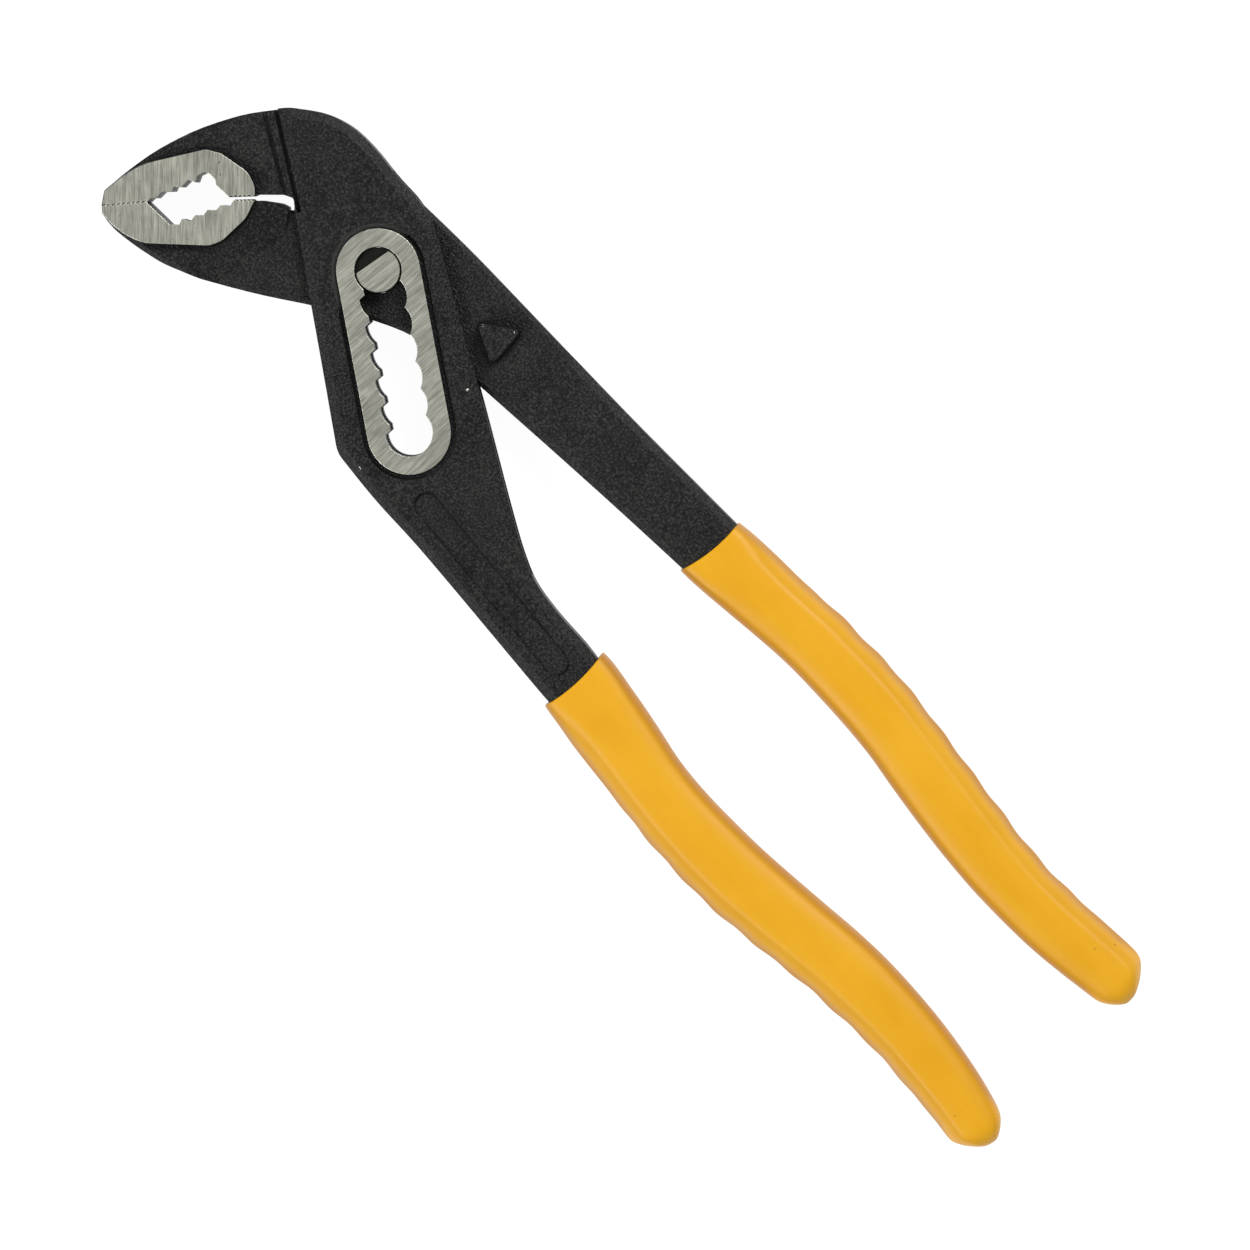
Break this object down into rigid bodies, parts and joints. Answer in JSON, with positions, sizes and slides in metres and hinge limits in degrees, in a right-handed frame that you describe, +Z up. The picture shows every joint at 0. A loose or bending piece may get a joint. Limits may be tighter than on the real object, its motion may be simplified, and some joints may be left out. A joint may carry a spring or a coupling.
{
  "type": "tongue and groove pliers",
  "caption": "Box-joint adjustable pliers: a slotted arm and an inner arm on a pivot pin that shifts along the slot's notches, with serrated pipe jaws and dipped grips.",
  "frame": {"origin": "on the pivot pin's axis, in the lower plane of the ground faces that the tool rests on", "axes": "+X along the tool from the jaws to the handle ends, +Y across it towards the inner arm's handle, +Z up through its thickness"},
  "size_m": [0.2527, 0.071, 0.012],
  "materials": {
    "black_steel": "satin black finish on forged steel",
    "ground_steel": "ground bare steel",
    "vinyl": "satin amber dipped vinyl"
  },
  "bodies": {
    "slotted_arm": {"slotted_arm": "black_steel", "slotted_arm_grip": "vinyl"},
    "pivot_pin": {"pivot_pin": "ground_steel"},
    "inner_arm": {"inner_arm": "black_steel", "inner_arm_grip": "vinyl"}
  },
  "joints": [
    {"name": "notch_slide", "type": "slide", "parent": "slotted_arm", "child": "pivot_pin", "axis": [0.7891, -0.6143, 0], "range_m": [0, 0.03192]},
    {"name": "jaw_hinge", "type": "hinge", "parent": "pivot_pin", "child": "inner_arm", "pos_m": [0, 0, 0.006], "axis": [0, 0, 1], "range_deg": [0, 66]}
  ]
}
